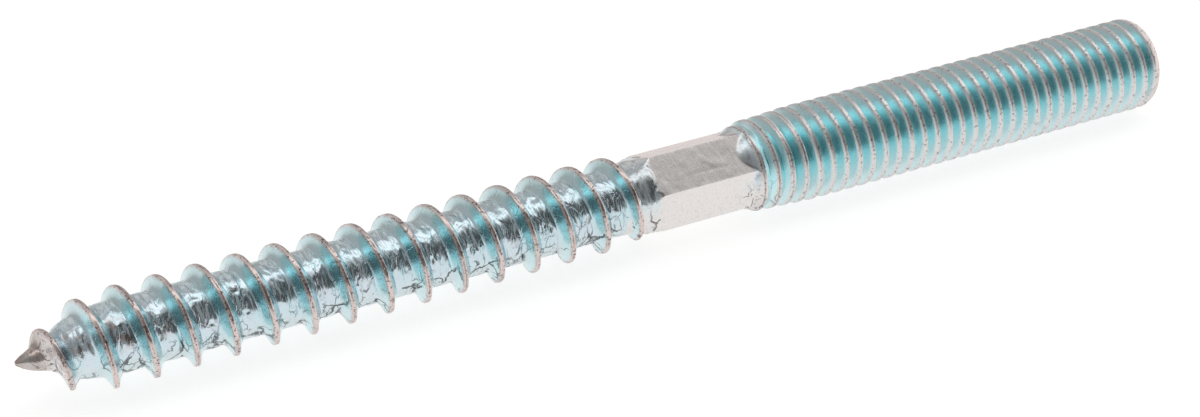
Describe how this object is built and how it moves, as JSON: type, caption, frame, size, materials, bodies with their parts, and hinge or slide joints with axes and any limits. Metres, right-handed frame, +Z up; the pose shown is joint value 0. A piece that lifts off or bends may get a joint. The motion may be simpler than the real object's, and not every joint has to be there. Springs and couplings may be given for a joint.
{
  "type": "hanger bolt",
  "caption": "Double-ended metal fastener: coarse wood-screw thread with a gimlet point, hexagonal drive section and machine-threaded stud.",
  "frame": {"origin": "on the axis where the hexagonal section starts, which is how deep the wood thread is driven", "axes": "+X along the axis towards the machine-threaded end, +Z up with the bolt lying on its side"},
  "size_m": [0.0986, 0.0078, 0.0078],
  "materials": {
    "zinc_plated_steel": "bright blue-white zinc plating, bluish green in the thread grooves"
  },
  "bodies": {
    "root": {"hanger_bolt": "zinc_plated_steel"}
  },
  "joints": []
}
